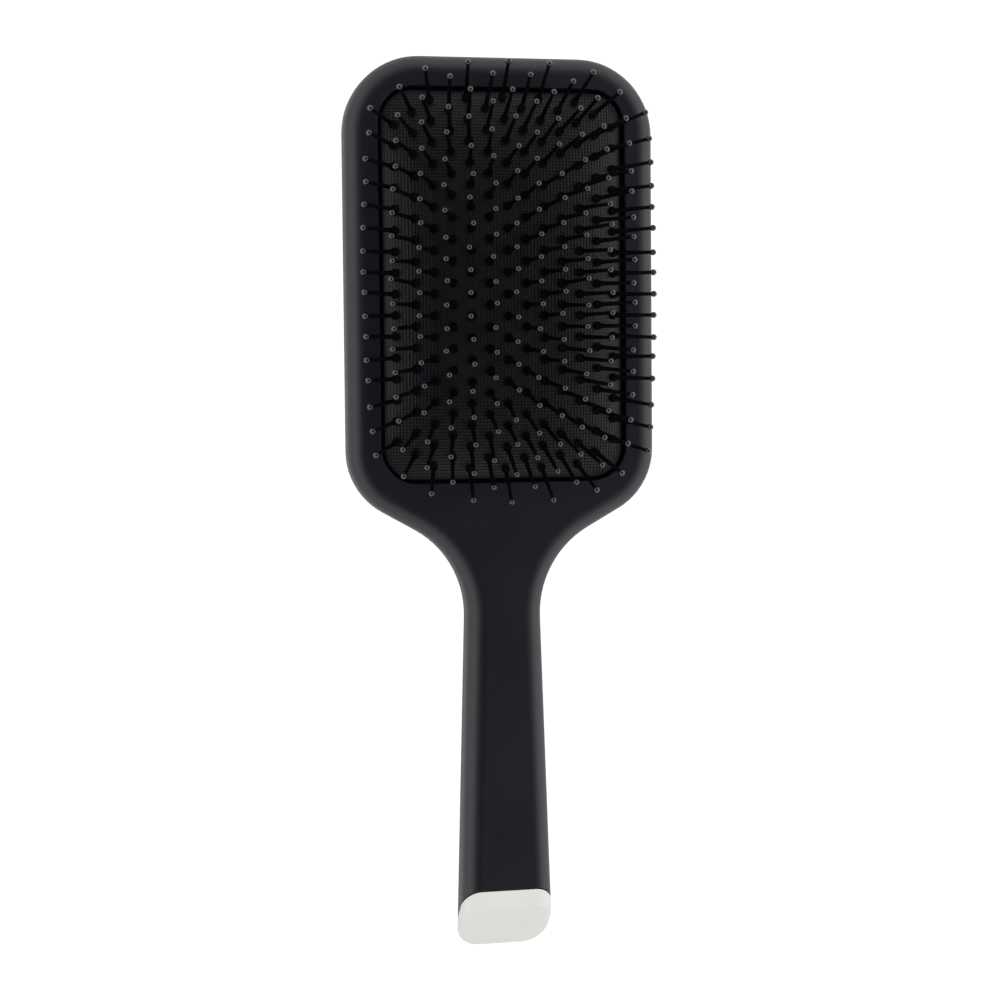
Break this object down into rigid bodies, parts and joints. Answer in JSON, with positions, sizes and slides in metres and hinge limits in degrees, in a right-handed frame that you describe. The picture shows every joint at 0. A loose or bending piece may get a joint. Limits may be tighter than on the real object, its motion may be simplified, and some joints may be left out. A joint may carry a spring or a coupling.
{
  "type": "paddle hair brush",
  "caption": "Wide cushioned paddle hair brush: crowned ribbed rubber pad with fanned ball-tipped pins, slim straight handle and slant-cut pale end cap.",
  "frame": {"origin": "bottom centre of the whole brush, on the flat back it lies on", "axes": "+Z the way the pins point, +Y from the handle to the head, X across the head"},
  "size_m": [0.0886, 0.2554, 0.0356],
  "materials": {
    "soft_touch_body": "soft-touch matt coat",
    "pale_end_cap": "fine matt",
    "tray_plastic": "plain moulded",
    "cushion_rubber": "fine moulded ribs",
    "pin_nylon": "glossy nylon"
  },
  "bodies": {
    "handle_body": {"front_shell": "soft_touch_body", "back_shell": "soft_touch_body", "end_cap": "pale_end_cap", "cushion_tray": "tray_plastic", "cushion_pad": "cushion_rubber"},
    "pins_01": {"pin_band_01": "pin_nylon"},
    "pins_02": {"pin_band_02": "pin_nylon"},
    "pins_03": {"pin_band_03": "pin_nylon"},
    "pins_04": {"pin_band_04": "pin_nylon"},
    "pins_05": {"pin_band_05": "pin_nylon"},
    "pins_06": {"pin_band_06": "pin_nylon"},
    "pins_07": {"pin_band_07": "pin_nylon"},
    "pins_08": {"pin_band_08": "pin_nylon"},
    "pins_09": {"pin_band_09": "pin_nylon"},
    "pins_10": {"pin_band_10": "pin_nylon"}
  },
  "joints": [
    {"name": "cushion_press", "type": "slide", "parent": "handle_body", "child": "pins_10", "axis": [0, 0, -1], "range_m": [0, 0.0035], "stiffness_N_per_m": 400, "deforming": ["cushion_pad"]},
    {"name": "pins_01_sink", "type": "slide", "parent": "handle_body", "child": "pins_01", "axis": [0, 0, -1], "range_m": [0, 0.000779], "stiffness_N_per_m": 400},
    {"name": "pins_02_sink", "type": "slide", "parent": "handle_body", "child": "pins_02", "axis": [0, 0, -1], "range_m": [0, 0.00109], "stiffness_N_per_m": 400},
    {"name": "pins_03_sink", "type": "slide", "parent": "handle_body", "child": "pins_03", "axis": [0, 0, -1], "range_m": [0, 0.00132], "stiffness_N_per_m": 400},
    {"name": "pins_04_sink", "type": "slide", "parent": "handle_body", "child": "pins_04", "axis": [0, 0, -1], "range_m": [0, 0.00173], "stiffness_N_per_m": 400},
    {"name": "pins_05_sink", "type": "slide", "parent": "handle_body", "child": "pins_05", "axis": [0, 0, -1], "range_m": [0, 0.00201], "stiffness_N_per_m": 400},
    {"name": "pins_06_sink", "type": "slide", "parent": "handle_body", "child": "pins_06", "axis": [0, 0, -1], "range_m": [0, 0.0023], "stiffness_N_per_m": 400},
    {"name": "pins_07_sink", "type": "slide", "parent": "handle_body", "child": "pins_07", "axis": [0, 0, -1], "range_m": [0, 0.00252], "stiffness_N_per_m": 400},
    {"name": "pins_08_sink", "type": "slide", "parent": "handle_body", "child": "pins_08", "axis": [0, 0, -1], "range_m": [0, 0.00285], "stiffness_N_per_m": 400},
    {"name": "pins_09_sink", "type": "slide", "parent": "handle_body", "child": "pins_09", "axis": [0, 0, -1], "range_m": [0, 0.00314], "stiffness_N_per_m": 400}
  ],
  "couplings": [
    {"joint": "pins_01_sink", "follows": "cushion_press", "ratio": 0.222},
    {"joint": "pins_02_sink", "follows": "cushion_press", "ratio": 0.3115},
    {"joint": "pins_03_sink", "follows": "cushion_press", "ratio": 0.3774},
    {"joint": "pins_04_sink", "follows": "cushion_press", "ratio": 0.4937},
    {"joint": "pins_05_sink", "follows": "cushion_press", "ratio": 0.5741},
    {"joint": "pins_06_sink", "follows": "cushion_press", "ratio": 0.6578},
    {"joint": "pins_07_sink", "follows": "cushion_press", "ratio": 0.7199},
    {"joint": "pins_08_sink", "follows": "cushion_press", "ratio": 0.8138},
    {"joint": "pins_09_sink", "follows": "cushion_press", "ratio": 0.8968}
  ]
}
